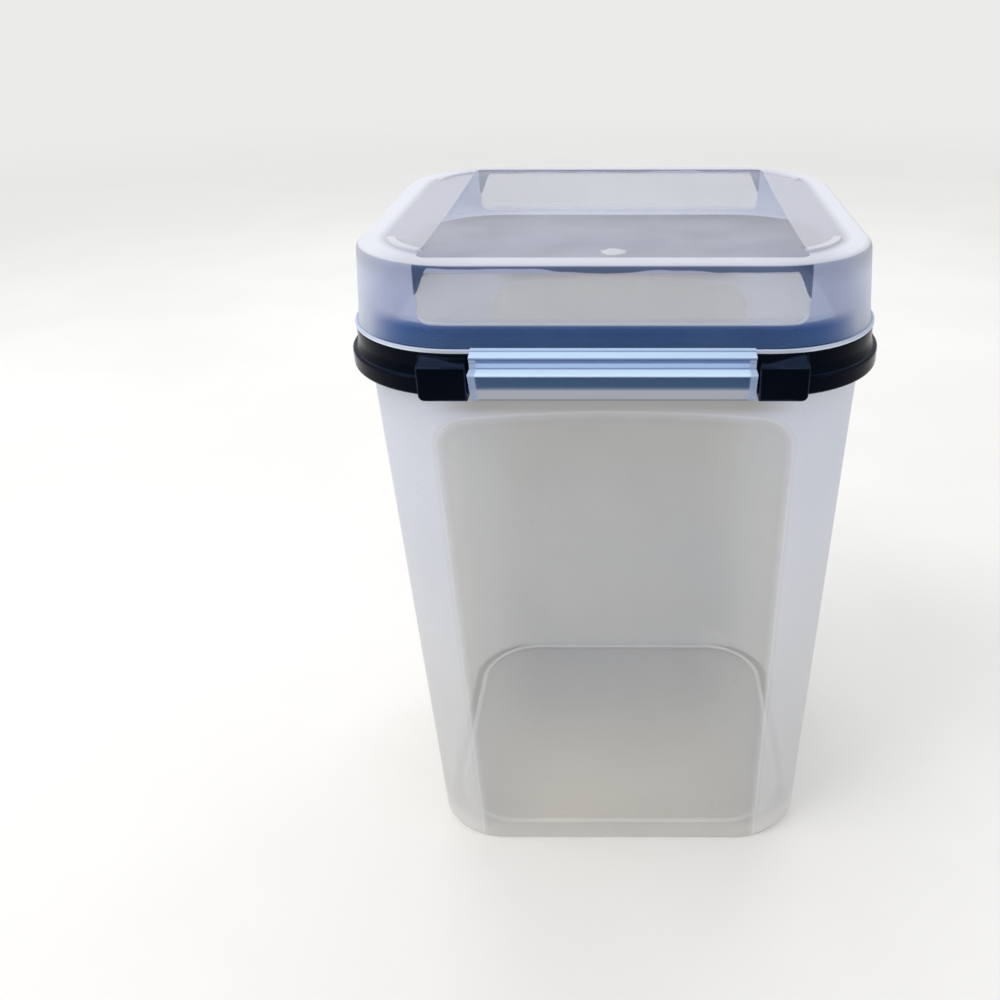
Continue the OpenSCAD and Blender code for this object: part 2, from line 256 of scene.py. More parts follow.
def tub_window(x, z):
    """1 inside the tub's window, 0 outside, with a soft border."""
    side = span_x + math.sin(math.radians(window_turn)) * tub_radius(z)
    u = abs(x) - (side - window_r)
    v = z + window_arch * (x / arch_half_w) ** 2 - (window_top - window_r)
    away = math.hypot(max(u, 0), max(v, 0)) - window_r
    return smooth_step(0.5 - away / window_border)


def make_tub(skins):
    start = floor_top + floor_fillet
    # The rows and columns lie close together where the window's edge runs
    rows = [k * 9 for k in range(1, 30)] + [261 + k * 0.6 for k in range(52)]
    outside = [(tub_radius(z), z) for z in rows if z < snap_bottom]
    inset = base_r - heel_r
    recess = foot_band + foot_r - base_r
    outer_wall = (
        [(0, foot_h, recess), (foot_r - 0.5, foot_h, recess)]
        + [(*p, recess) for p in arc((foot_r - 0.5, foot_h - 0.5), 0.5, 90, 0, 3)]
        + [(*p, recess) for p in arc((foot_r + 0.6, 0.6), 0.6, 180, 270, 4)]
        + arc((inset + heel_r * draft, heel_r), heel_r, -90, 0, 6)
        + outside
        + [(tub_radius(snap_bottom), snap_bottom), (rim_r + snap_bead, snap_bottom + 1)]
        + [(rim_r + snap_bead, snap_top - 1.5), (tub_radius(snap_top), snap_top)]
        + arc((rim_r - 0.5, body_h - 0.5), 0.5, 0, 90, 3)
        + arc((rim_r - wall + 0.5, body_h - 0.5), 0.5, 90, 180, 3)
    )
    inner_wall = (
        [(tub_radius(z) - wall, z) for z in range(300, 15, -15)]
        + arc((tub_radius(start) - wall - floor_fillet, start), floor_fillet, 0, -90, 8)
        + [(0, floor_top)]
    )

    def shape(column, rho, z, shift=0):
        outer = abs(rho - tub_radius(z)) < 0.01 and heel_r < z < snap_bottom
        if outer and abs(math.sin(math.radians(column[1]))) > 0.9:
            rho -= window_step * tub_window(place(column, rho, z).x, z)
        return rho, z, shift

    corner = [0, 3, 6, 8.5] + [10 + 0.45 * k for k in range(22)] + [22 + 3.4 * k for k in range(21)]
    cuts = [k / 12 for k in range(1, 12)]
    bm = bmesh.new()
    path = ring_path(corner, cuts, cuts[2:-2:2])
    sweep(bm, outer_wall + inner_wall, path, False, shape, len(outer_wall) - 1)
    return finish_mesh("tub", bm, skins)


# ---------------------------------------------------------------- the collar


def collar_section():
    bead = bead_edge - 1.4
    flare_turn = math.degrees(math.acos(1 - 1.2 / 10))
    flare_z = bead_top + 0.25 + 10 * math.sin(math.radians(flare_turn))
    return (
        [(rim_in + 0.4, lip_bottom), (rim_out - 0.4, lip_bottom), (rim_out, lip_bottom + 0.4)]
        + [(rim_out, web_z), (band_in, web_z), (band_in, snap_bottom)]
        + [(tub_radius(snap_bottom) + fit_gap, snap_bottom - fit_gap)]
        + [(tub_radius(snap_bottom) + fit_gap, snap_bottom - fit_gap - 1)]
        + [(band_in, snap_bottom - 5), (band_in, band_bottom + 0.4)]
        + [(band_in + 0.4, band_bottom)]
        + [(band_in + 1, band_bottom), (bead - 0.5, band_bottom)]
        + arc((bead, band_bottom + 1.4), 1.4, -90, 0, 6)
        + [(bead_edge, band_bottom + 2), (bead_edge, bead_top - 2)]
        + arc((bead, bead_top - 1.4), 1.4, 0, 85, 6)
        + [(band_out + 1.5, bead_top + 0.06), (band_out + 1.25, bead_top + 0.1)]
        + arc((band_out + 10, flare_z), 10, 180 + flare_turn, 180, 8)
        + [(band_out, ledge_z - 1)]
        + arc((band_out - 0.45, ledge_z - 0.45), 0.45, 0, 90, 4)
        + [(band_out - 1, ledge_z), (rim_out, ledge_z), (rim_out, rim_top - 1.4)]
        + arc((rim_out - 0.8, rim_top - 0.8), 0.8, 0, 90, 4)
        + arc((rim_in + 0.8, rim_top - 0.8), 0.8, 90, 180, 4)
        + [(rim_in, lip_bottom + 0.4)]
    )


def make_collar(skin):
    edge = boss_in + 0.8

    def shape(column, rho, z, shift=0):
        (u, v), turn = column
        if v < -0.99 and abs(turn - 270) < 0.01 and abs(u * span_x) < edge - 0.04:
            if z < recess_top:
                rho = min(rho, recess_in)
            if z < recess_bottom and rho > band_in - 0.1:
                z = recess_bottom
        return rho, z, shift

    # The front side is cut twice at each end of the recess, where a wall stands
    shares = [0.5 - side * (edge - k) / span_x / 2 for side in (1, -1) for k in (0, 0.05)]
    shares = sorted(shares + [k / 10 for k in range(2, 9)])
    corner = [90 * k / 28 for k in range(29)]
    bm = bmesh.new()
    sweep(bm, collar_section(), ring_path(corner, shares, (0.25, 0.5, 0.75)), True, shape)
    for side in (1, -1):
        for ear in (1, -1):
            centre = side * hinge_span / 2 + ear * (ear_reach - ear_w / 2)
            prism(bm, ear_profile(), centre - ear_w / 2, centre + ear_w / 2, 0.35)
        add_catch(bm, side)
    body = finish_mesh("collar", bm, [skin])
    for side in (1, -1):
        body = combined(body, make_boss(side), "UNION")
    return body


def ear_profile():
    root, foot = span_y + band_in + 0.8, bead_top - 2
    return (
        [(root, foot), (root, ledge_z - 0.4), (span_y + band_out, ledge_z - 0.4)]
        + arc((hinge_y, hinge_z), knuckle_r, 90, -45, 14)
        + [(span_y + band_out + 1.2, foot)]
    )


def make_boss(side):
    """A catch boss: a rounded box, open underneath, with its outer bottom corner rounder."""
    outer = boss_in + boss_w
    face = (
        [(boss_in, boss_bottom), (boss_in, boss_top), (outer, boss_top)]
        + arc((outer - 2.8, boss_bottom + 2.8), 2.8, 0, -90, 6)
    )
    band_r = band_in + 0.6
    back = -(span_y + band_r)
    made = bmesh.new()
    front = [made.verts.new((side * x, -boss_front, z)) for x, z in face]
    face = [(x, z + boss_rise if z == boss_top else z) for x, z in face]
    rear = [made.verts.new((side * x, back, z)) for x, z in face]
    made.faces.new(front)
    rear_face = made.faces.new(list(reversed(rear)))
    for i in range(len(face)):
        j = (i + 1) % len(face)
        made.faces.new((front[i], rear[i], rear[j], front[j]))
    bmesh.ops.recalc_face_normals(made, faces=made.faces)
    edges = [e for e in made.edges if e.calc_face_angle() > 0.4 and rear_face not in e.link_faces]
    bmesh.ops.bevel(made, geom=edges, offset=0.55, segments=3, affect="EDGES", profile=0.5)
    # A row of faces round the two flats keeps the pale ridges of their finish, a painted highlight,
    # narrow
    large = [f for f in made.faces if f.calc_area() > 40]
    flats = [f for f in large if f.calc_center_median().y < -boss_front + 0.1]
    flats += [f for f in large if f.normal.z > 0.9]
    bmesh.ops.inset_individual(made, faces=flats, thickness=0.5)
    # The inside of the corner that the band fills is cut away along the band's own curve
    for vert in made.verts:
        if abs(vert.co.y - back) < 0.01 and abs(vert.co.x) > span_x:
            off = abs(vert.co.x) - span_x
            vert.co.y = -(span_y + math.sqrt(band_r**2 - off**2))
    boss = finish_mesh("boss", made)
    near, far = -(boss_front - boss_wall), -(span_y + bead_edge + 0.2)
    low, high = boss_bottom - 2, boss_top - boss_wall
    xs = sorted((side * (boss_in + boss_wall), side * (outer - boss_wall)))
    hollow = bmesh.new()
    prism(hollow, [(near, low), (near, high), (far, high), (far, low)], *xs, 0.4)
    return combined(boss, finish_mesh("hollow", hollow), "DIFFERENCE")


def add_catch(bm, side):
    """The lug on the boss's inner face that the flap clicks past."""
    top, front = boss_top - 9, -boss_front + 0.5
    bottom, back = top - 3.5, front + 3
    xs = sorted((side * (boss_in - lug_out), side * (boss_in + 1)))
    prism(bm, [(front, top), (back, top), (back, bottom), (front, bottom)], *xs, 0.35)


# ---------------------------------------------------------------- the lid


def lug_rise(column, rho):
    """How far the top rises for a stacking lug, with round ends and soft edges."""
    turn = column[1] % 90
    corner = int(column[1] // 90) % 4
    from_side = turn if corner % 2 == 0 else 90 - turn
    ring = dome_radius(top_z) - stack_inset
    along = max(stack_start - from_side, from_side - stack_start - stack_turn, 0)
    across = math.hypot(rho - ring, math.radians(along) * ring)
    return stack_h * smooth_step((stack_w / 2 + 0.25 - across) / 0.9)


def lid_window_inset(x, z):
    """1 inside the front or rear window of the lid, 0 outside, with a soft border."""
    middle = (lid_window_low + lid_window_high) / 2
    u = abs(x) - (lid_window - lid_window_r)
    v = abs(z - middle) - (lid_window_high - middle - lid_window_r)
    away = math.hypot(max(u, 0), max(v, 0)) - lid_window_r
    return smooth_step(0.5 - away / lid_border)


def dome_section():
    """The lid's section, and the index of the first point of its inside."""
    slant = lid_t / math.cos(dome_draft)
    shoulder_z = top_z - shoulder_r
    centre = (dome_radius(shoulder_z) - shoulder_r / math.cos(dome_draft), shoulder_z)
    ring = dome_radius(top_z) - stack_inset
    lug_rows = [ring + k * 0.3 for k in range(-9, 10)]
    # The levels lie close together where the window's top and bottom edges run
    levels = [353.3 - 0.3 * k for k in range(20)] + [345, 342, 339]
    levels += [336 - 0.4 * k for k in range(16)] + [328, 325.5, 323]
    walls = [(dome_radius(z), z) for z in levels]
    outside = (
        [(0, top_z), (12, top_z), (24, top_z)]
        + [(rho, top_z) for rho in lug_rows]
        + [(42, top_z)]
        + arc(centre, shoulder_r, 90, 5, 10)
        + walls
        + arc((dome_radius(flange_top) + 0.9, flange_top + 0.9), 0.9, 178, 270, 4)
        + arc((flange_r - 0.6, flange_top - 0.6), 0.6, 90, 0, 4)
        + arc((flange_r - 0.3, flange_z + 0.3), 0.3, 0, -90, 3)
        + [(dome_radius(flange_z) - slant, flange_z)]
    )
    inside = (
        [(dome_radius(z) - slant, z) for z in (323, 331, 340, 348)]
        + arc(centre, shoulder_r - lid_t, 5, 90, 6)
        + [(24, top_z - lid_t), (0, top_z - lid_t)]
    )
    return outside + inside, len(outside) - 1


def socket_profile():
    """The front tab of the lid and the open socket of the latch hinge."""
    front = -(span_y + flange_r)
    socket_r = bead_r + run_gap
    outer = socket_r + 0.8
    centre = (latch_y, latch_z)
    return (
        [(front + flange_out + 0.7, flange_z), (front + flange_out + 0.7, flange_top)]
        + [(front - 0.3, flange_top), (front - 0.6, flange_top - 0.5)]
        + [(latch_y + 0.4, flange_top - 1), (latch_y - 0.4, flange_top - 1.4)]
        + arc(centre, outer, 112, 130, 2)
        + arc(centre, socket_r, 130, -50, 12)
        + arc(centre, outer, -50, 38, 8)
    )


def arm_profile():
    """A rear arm with its knuckle and the heel that stops the lid."""
    reach, drop = -(hinge_y - span_y - band_out - fit_gap), -3
    heel = (
        hinge_y + reach * math.cos(open_angle) - drop * math.sin(open_angle),
        hinge_z + reach * math.sin(open_angle) + drop * math.cos(open_angle),
    )
    arm_top = flange_top + 11
    wall_y = span_y + dome_radius(arm_top) - lid_t / 2
    return (
        [(span_y + dome_radius(flange_z) - lid_t / 2, flange_z), (wall_y, arm_top)]
        + [(wall_y + 1.4, arm_top), (wall_y + 2, arm_top - 0.8)]
        + [(span_y + flange_r - 0.4, flange_top + 3.2), (span_y + flange_r + 0.9, flange_top + 2)]
        + arc((hinge_y, hinge_z), knuckle_r, 88, 20, 8)
        + [heel]
        + arc((hinge_y, hinge_z), knuckle_r, -80, -206, 14)
    )


def make_lid(skins):
    def shape(column, rho, z, shift=0):
        if abs(z - top_z) < 0.001 and rho > 24:
            z += lug_rise(column, rho)
        on_wall = abs(rho - dome_radius(z)) < 0.001 and flange_top + 1 < z < top_z - shoulder_r
        if on_wall and abs(math.sin(math.radians(column[1]))) > 0.9:
            rho -= lid_step * lid_window_inset(place(column, rho, z).x, z)
        return rho, z, shift

    corner = [0, 3, 6, 9] + [10.5 + 0.5 * k for k in range(20)]
    corner += [21.5 + 1.5 * k for k in range(46)] + [90]
    cuts = [k / 8 for k in range(1, 8)]
    path = ring_path(corner, cuts, cuts)
    bm = bmesh.new()
    section, inside_from = dome_section()
    sweep(bm, section, path, False, shape, inside_from)
    body = finish_mesh("lid", bm, skins)
    added = bmesh.new()
    prism(added, socket_profile(), -flap_w / 2, flap_w / 2, 0.12, 50)
    for side in (1, -1):
        middle = side * hinge_span / 2
        prism(added, arm_profile(), middle - arm_w / 2, middle + arm_w / 2, 0.35)
    body = combined(body, finish_mesh("fittings", added), "UNION")
    bores = bmesh.new()
    circle = arc((hinge_y, hinge_z), pin_r + run_gap, 0, 360, 48)[:-1]
    for side in (1, -1):
        middle = side * hinge_span / 2
        prism(bores, circle, middle - arm_w / 2 - 1, middle + arm_w / 2 + 1, 0)
    body = combined(body, finish_mesh("bores", bores), "DIFFERENCE")
    body.data.set_sharp_from_angle(angle=math.radians(SHARP))
    return body


# ---------------------------------------------------------------- the latch flap


def flap_front():
    """The outline of the flap's shelf and front, from the neck to the foot's inner edge."""
    return (
        [(latch_y + 0.4, latch_z - shelf_drop)]
        + arc((latch_y - shelf_out + 0.5, latch_z - shelf_drop - 0.5), 0.5, 90, 180, 4)
        + arc((latch_y - foot_out + 0.4, latch_z - flap_h + 0.4), 0.4, 190, 270, 3)
        + [(latch_y + flap_t + 0.8 - foot_out, latch_z - flap_h)]
    )


def make_flap(skin):
    inset = 0.06
    under = latch_z - shelf_drop - flap_t
    neck = math.degrees(math.asin(0.4 / bead_r))
    walls = (
        [(latch_y - 0.4, latch_z - shelf_drop)]
        + flap_front()[1:]
        + [(latch_y + flap_t + 0.8 - foot_out, latch_z - flap_h + 1)]
        + [(latch_y + flap_t - 0.4 - foot_out, latch_z - flap_h + 1.8)]
        + [(latch_y + flap_t - shelf_out, under), (latch_y + 0.4, under)]
        + arc((latch_y, latch_z), bead_r, -90 + neck, 270 - neck, 20)
    )
    end = flap_front()
    end += [(latch_y + 3, latch_z - flap_h + 6), (latch_y + 3, latch_z - shelf_drop - 2)]
    # The walls lie just inside the end plates' outline, so that no two faces share a plane
    walls = [(y + inset, z - inset) if y < latch_y - 1 else (y, z) for y, z in walls]
    bm = bmesh.new()
    prism(bm, walls, -flap_w / 2 + 0.2, flap_w / 2 - 0.2, 0.1, 50)
    body = finish_mesh("latch", bm, [skin])
    for side in (1, -1):
        plate = bmesh.new()
        xs = sorted((side * (flap_w / 2 - 1.4), side * flap_w / 2))
        prism(plate, end, *xs, 0.25)
        body = combined(body, finish_mesh("plate", plate), "UNION")
    body.data.set_sharp_from_angle(angle=math.radians(SHARP))
    return body


# ---------------------------------------------------------------- materials


class Nodes:
    """A node tree, built with short calls. Each gives the socket that holds its result."""

    def __init__(self, owner):
        owner.use_nodes = True
        self.tree = owner.node_tree
        self.tree.nodes.clear()

    def add(self, kind, inputs=(), out=0, **settings):
        node = self.tree.nodes.new("ShaderNode" + kind)
        for key, value in settings.items():
            setattr(node, key, value)
        for key, value in dict(inputs).items():
            if isinstance(value, bpy.types.NodeSocket):
                self.tree.links.new(value, node.inputs[key])
            else:
                node.inputs[key].default_value = value
        return node.outputs[out]

    def math(self, operation, *values, clamp=False):
        return self.add("Math", enumerate(values), operation=operation, use_clamp=clamp)

    def vector(self, operation, *values, out=0):
        return self.add("VectorMath", enumerate(values), out=out, operation=operation)

    def parts(self, vector):
        return self.add("SeparateXYZ", {0: vector}).node.outputs[0:3]

    def product(self, first, *others):
        for value in others:
            first = self.math("MULTIPLY", first, value)
        return first

    def seen(self):
        """1 for rays that see a surface from the camera, in a gloss or through clear plastic."""
        rays = self.add("LightPath").node.outputs
        direct = self.math("MAXIMUM", rays["Is Camera Ray"], rays["Is Glossy Ray"])
        return self.math("MAXIMUM", direct, rays["Is Transmission Ray"])


class Finish(Nodes):
    """A procedural material, laid out in the object's metres."""

    def __init__(self, name):
        self.material = bpy.data.materials.new(name)
        super().__init__(self.material)
        self.point = self.add("TexCoord", out="Object")

    def axes(self):
        return self.parts(self.point)

    def fade(self, value, start, end, low=0.0, high=1.0):
        """low before start, high after end, and smooth between them."""
        inputs = {0: value, 1: start, 2: end, 3: low, 4: high}
        return self.add("MapRange", inputs, interpolation_type="SMOOTHSTEP")

    def noise(self, scale, detail=3.0, rough=0.55, stretch=(1, 1, 1)):
        """Cloudy noise from 0 to 1, with scale features to the metre."""
        point = self.vector("MULTIPLY", self.point, stretch)
        inputs = {"Vector": point, "Scale": scale, "Detail": detail, "Roughness": rough}
        return self.add("TexNoise", inputs)

    def colours(self, share, first, second):
        """A colour from first, at share 0, to second, at 1."""
        inputs = {0: share, 6: first, 7: second}
        return self.add("Mix", inputs, out=2, data_type="RGBA")

    def number(self, share, first, second):
        """A number from first, at share 0, to second, at 1."""
        return self.add("Mix", {0: share, 2: first, 3: second}, data_type="FLOAT")

    def bump(self, height, depth, strength=1.0, normal=None):
        inputs = {"Height": height, "Distance": depth, "Strength": strength}
        if normal:
            inputs["Normal"] = normal
        return self.add("Bump", inputs)

    def away(self, u, v, half_u, half_v, r):
        """Distance outside a rounded rectangle about zero."""
        far_u = self.math("SUBTRACT", self.math("ABSOLUTE", u), half_u - r)
        far_v = self.math("SUBTRACT", self.math("ABSOLUTE", v), half_v - r)
        corner = self.add("CombineXYZ", {0: far_u, 1: far_v})
        beyond = self.vector("LENGTH", self.vector("MAXIMUM", corner, (0, 0, 0)), out="Value")
        return self.math("SUBTRACT", beyond, r)

    def surface(self, shader):
        output = self.tree.nodes.new("ShaderNodeOutputMaterial")
        self.tree.links.new(shader, output.inputs["Surface"])
        return self.material


def rgb(r, g, b):
    """A colour written in sRGB, as 0 to 255, in the linear values that nodes take."""
    shares = [c / 255 for c in (r, g, b)]
    return (*[((c + 0.055) / 1.055) ** 2.4 if c > 0.04 else c / 12.92 for c in shares], 1)


def hazy(finish, colour, cover, roughness, normal, glow=0.4, tint=(0.95, 0.96, 0.98, 1)):
    """Hazy plastic. cover is the share of light that doesn't go straight through but is scattered,
    and glow is the share of that which comes out on the far side. tint colours what is seen
    through it."""
    skin = finish.add("BsdfPrincipled", {
        "Base Color": colour, "Roughness": roughness, "Normal": normal, "IOR": 1.49,
    })
    through = finish.add("BsdfTranslucent", {"Color": colour, "Normal": normal})
    body = finish.add("MixShader", {0: glow, 1: skin, 2: through})
    clear = finish.add("BsdfTransparent", {"Color": tint})
    # The gloss grows where the skin turns from the eye, and is the same from both sides of it
    turned = finish.add("LayerWeight", {"Blend": 0.5, "Normal": normal}, out="Facing")
    gloss = finish.math("MULTIPLY", finish.math("POWER", turned, 5), 0.55)
    share = finish.math("MAXIMUM", cover, gloss)
    return finish.add("MixShader", {0: share, 1: clear, 2: body})


def tub_finish():
    f = Finish("frosted_tub")
    x, y, z = f.axes()
    across = f.math("ABSOLUTE", x)
    # The window widens upwards with the tub, and its top edge falls towards its sides
    turn = math.sin(math.radians(window_turn))
    u = f.math("SUBTRACT", across, f.product(z, turn * draft))
    bow = f.product(x, x, window_arch * MM / (arch_half_w * MM) ** 2)
    lowered = 60  # the mask's middle, so that its bottom edge lies below the tub
    v = f.math("SUBTRACT", f.math("ADD", z, bow), (window_top / 2 - lowered) * MM)
    half_u, half_v = (span_x + turn * base_r) * MM, (window_top / 2 + lowered) * MM
    edge = f.away(u, v, half_u, half_v, window_r * MM)
    window = f.fade(edge, 0.0030, -0.0050)
    # The window's edge is a little hazier and paler: the paler tone is a painted highlight on its
    # step
    border = f.product(f.fade(edge, -0.0016, -0.0004), f.fade(edge, 0.0010, 0.0002))
    # The window grows hazier towards its sides, and its paler tone there is painted light
    off_centre = f.fade(across, 0.035, 0.085)
    # Painted shadow of the collar and latch: the tub's top middle is darker and warmer
    collar_shadow = f.product(f.fade(z, 0.284, 0.291), f.fade(across, 0.088, 0.06))
    under = f.product(f.fade(foot_edge(f), 0.0002, -0.0006), f.fade(z, 0.0075, 0.0065))
    clouds = f.noise(9, 3)
    specks = f.noise(900, 1)
    tone = f.colours(f.fade(z, 0.02, 0.30), rgb(240, 238, 234), rgb(240, 243, 252))
    tone = f.colours(f.fade(clouds, 0.35, 0.7, 0.0, 0.25), tone, rgb(222, 226, 236))
    tone = f.colours(f.product(collar_shadow, 0.85), tone, rgb(186, 182, 174))
    middle = f.colours(f.fade(z, 0.16, 0.03), rgb(196, 197, 199), rgb(246, 241, 230))
    # The window darkens towards its top: painted shadow of the collar
    middle = f.colours(f.fade(z, 0.20, 0.29), middle, rgb(196, 193, 186))
    middle = f.colours(off_centre, middle, rgb(222, 221, 217))
    middle = f.colours(f.fade(clouds, 0.4, 0.7, 0.0, 0.3), middle, rgb(222, 219, 214))
    tone = f.colours(window, tone, middle)
    tone = f.colours(f.product(border, 0.18), tone, rgb(250, 250, 248))
    # Painted light bounced from the floor: the tub is paler near it
    tone = f.colours(f.fade(z, 0.02, 0.006, 0.0, 0.8), tone, rgb(254, 252, 248))
    tone = f.colours(under, tone, rgb(240, 237, 230))
    tone = f.colours(f.fade(specks, 0.80, 0.83), tone, rgb(90, 80, 70))
    pane = f.math("ADD", f.number(off_centre, 0.52, 0.62), f.fade(z, 0.16, 0.03, 0.0, 0.08))
    cover = f.number(window, 0.88, pane)
    cover = f.math("ADD", cover, f.fade(z, 0.03, 0.004, 0.0, 0.08))
    cover = f.number(under, cover, 0.96)
    cover = f.math("ADD", cover, f.product(border, 0.08), clamp=True)
    scuffs = f.noise(240, 4, 0.7, (1, 1, 0.25))
    rough = f.number(window, 0.48, 0.2)
    rough = f.math("ADD", rough, f.fade(scuffs, 0.45, 0.75, 0.0, 0.05))
    wave = f.bump(f.noise(22, 2), 0.0006, 0.5)
    skin = f.bump(f.noise(2600, 2), 0.00006, 0.35, wave)
    return f.surface(hazy(f, tone, cover, rough, skin, tint=(0.82, 0.81, 0.79, 1)))


def foot_edge(f):
    """Distance outside the inner edge of the band that the tub stands on."""
    x, y, z = f.axes()
    half_u, half_v = (base_w / 2 - foot_band) * MM, (base_d / 2 - foot_band) * MM
    return f.away(x, y, half_u, half_v, foot_r * MM)


def inside_finish(name, cover_low, cover_high):
    """The smoother inner skin of the tub or lid, nearly clear, with faint flow marks. The tub's
    floor shows the edge of the foot as a pale line."""
    f = Finish(name)
    z = f.axes()[2]
    from_edge = f.math("ABSOLUTE", foot_edge(f))
    line = f.product(f.fade(from_edge, 0.0019, 0.0012), f.fade(z, 0.0065, 0.0055))
    clouds = f.noise(14, 4)
    marks = f.noise(40, 4, 0.6, (1, 1, 0.7))
    tone = f.colours(f.fade(clouds, 0.3, 0.7), rgb(238, 240, 245), rgb(228, 231, 238))
    tone = f.colours(line, tone, rgb(254, 254, 252))
    cover = f.number(line, f.fade(marks, 0.3, 0.75, cover_low, cover_high), 1.0)
    glow = f.number(line, 0.4, 0.0)
    rough = f.fade(f.noise(200, 4, 0.7), 0.35, 0.75, 0.18, 0.34)
    skin = f.bump(f.noise(30, 3), 0.0006, 0.4)
    return f.surface(hazy(f, tone, cover, rough, skin, glow))


def lid_places(f):
    """Masks from 0 to 1 of the places where the lid's finish changes."""
    x, y, z = f.axes()
    across, depth = f.math("ABSOLUTE", x), f.math("ABSOLUTE", y)
    at = SimpleNamespace(x=x, y=y, z=z, across=across)
    # The top's window, with its sides drawn in at the middle
    waist = f.product(y, y, top_waist * MM / (97 * MM) ** 2)
    u = f.math("SUBTRACT", across, waist)
    edge = f.away(u, y, top_window_w * MM, top_window_d * MM, top_window_r * MM)
    flat = f.fade(z, (top_z - 0.3) * MM, (top_z - 0.2) * MM)
    at.top_window = f.product(f.fade(edge, 0.0004, -0.0004), flat)
    # The front and rear windows, with a pale sill along their bottom edge: a painted highlight on
    # the step there
    low, high = lid_window_low * MM, lid_window_high * MM
    v = f.math("SUBTRACT", z, (low + high) / 2)
    edge = f.away(x, v, lid_window * MM, (high - low) / 2, lid_window_r * MM)
    facing = f.fade(depth, (span_y + 42) * MM, (span_y + 43) * MM)
    at.side_window = f.product(f.fade(edge, 0.0005, -0.0005), facing)
    at.window = f.math("MAXIMUM", at.top_window, at.side_window)
    sill = f.product(f.fade(edge, -0.0016, -0.0004), f.fade(edge, 0.0006, 0.0))
    at.sill = f.product(sill, facing, f.fade(z, low + 7 * MM, low + 2 * MM))
    # The painted dark reflection along the top of each side window runs down its ends in a wedge
    ragged = f.fade(f.noise(26, 2, 0.5, (1, 0.2, 0.3)), 0.3, 0.7, -0.0012, 0.0010)
    wedge = f.fade(across, (line_end - wedge_w) * MM, line_end * MM, 0.0, wedge_h * MM)
    foot = f.math("SUBTRACT", f.math("ADD", line_low * MM, ragged), wedge)
    over_foot = f.fade(f.math("SUBTRACT", z, foot), 0.0, 0.0004)
    below_top = f.fade(z, (line_high + 0.2) * MM, (line_high - 0.2) * MM)
    within_ends = f.fade(across, (line_end + 0.2) * MM, (line_end - 0.4) * MM)
    at.line = f.product(over_foot, below_top, within_ends, facing)
    # The wall below the windows, which is clearer at the front and back
    at.low_down = f.fade(z, (lid_window_low + 4) * MM, (lid_window_low - 3) * MM)
    at.round_corner = f.fade(depth, (span_y + 18) * MM, (span_y + 50) * MM)
    at.skirt = f.product(at.low_down, f.fade(depth, (span_y + 32) * MM, (span_y + 51) * MM))
    # The flange and its rim, and the latch's tab and the rear arms that stand out from it
    reach = f.away(x, y, (span_x + flange_r) * MM, (span_y + flange_r) * MM, flange_r * MM)
    at.flange = f.fade(z, (flange_top + 0.5) * MM, (flange_top + 0.1) * MM)
    at.rim = f.product(f.fade(reach, -0.0011, -0.0006), at.flange)
    at.rim_edge = f.fade(z, (flange_z + 1.3) * MM, (flange_z + 0.5) * MM)
    tab = f.fade(y, -(span_y + flange_r - 2.0) * MM, -(span_y + flange_r - 1.7) * MM)
    tab = f.product(tab, f.fade(across, (flap_w / 2 + 0.1) * MM, flap_w / 2 * MM), at.flange)
    beyond = f.fade(depth, (span_y + flange_r + 0.2) * MM, (span_y + flange_r + 0.7) * MM)
    at.fittings = f.math("MAXIMUM", beyond, tab)
    # Painted shade in the step where the tab and arms leave the flange: a darker line
    crease = f.product(f.fade(reach, 0.0002, 0.0004), f.fade(reach, 0.0011, 0.0008))
    at.crease = f.product(crease, at.fittings)
    # Painted shade by the groove where the flap hangs: the front of the latch's socket is darker
    at.seam = f.fade(y, (latch_y - 0.3) * MM, (latch_y - 0.6) * MM)
    # The top's shoulder, the four raised lugs, whose paler tops are painted highlight, and the mark
    # of the mould's gate
    shoulder = f.fade(z, (top_z - 1.4) * MM, (top_z - 0.9) * MM)
    at.shoulder = f.product(shoulder, f.fade(reach, -0.0200, -0.0135))
    off_gate = f.vector("SUBTRACT", f.point, (0, gate_y * MM, top_z * MM))
    from_gate = f.vector("LENGTH", off_gate, out="Value")
    blurred = f.math("ADD", from_gate, f.fade(f.noise(400), 0.3, 0.7, -0.0008, 0.0008))
    gate = f.fade(blurred, (gate_r + 0.8) * MM, (gate_r - 0.8) * MM)
    raised = f.fade(z, (top_z + 0.15) * MM, (top_z + 0.7) * MM)
    at.white = f.math("MAXIMUM", f.product(gate, 0.7), f.product(raised, 0.3))
    at.clouds = f.noise(11, 3)
    at.front = f.fade(y, 0.01, -0.01)
    return at


def lid_tone(f, at):
    tone = f.colours(f.fade(at.z, 0.344, 0.357), rgb(232, 237, 255), rgb(197, 197, 207))
    tone = f.colours(f.fade(at.clouds, 0.35, 0.7, 0.0, 0.2), tone, rgb(188, 190, 204))
    # The front and back walls are bluer: painted reflection of a bluish sky
    tone = f.colours(f.product(at.round_corner, 0.7), tone, rgb(160, 172, 212))
    tone = f.colours(f.product(at.shoulder, 0.85), tone, rgb(242, 243, 249))
    tone = f.colours(at.top_window, tone, rgb(224, 228, 244))
    tone = f.colours(at.side_window, tone, rgb(218, 217, 221))
    lower = f.colours(f.fade(at.z, 0.331, 0.321), rgb(78, 130, 216), rgb(110, 156, 228))
    tone = f.colours(at.skirt, tone, lower)
    tone = f.colours(f.product(at.sill, 0.6), tone, rgb(246, 247, 252))
    tone = f.colours(at.flange, tone, f.colours(at.skirt, rgb(196, 208, 234), rgb(84, 120, 180)))
    tone = f.colours(at.rim, tone, f.colours(at.rim_edge, rgb(200, 210, 232), rgb(236, 244, 255)))
    fittings = f.colours(at.front, rgb(196, 206, 232), rgb(206, 230, 255))
    tone = f.colours(at.fittings, tone, fittings)
    tone = f.colours(at.crease, tone, rgb(140, 162, 206))
    tone = f.colours(at.seam, tone, rgb(124, 146, 186))
    tone = f.colours(at.line, tone, rgb(62, 84, 126))
    return f.colours(at.white, tone, rgb(250, 251, 253))


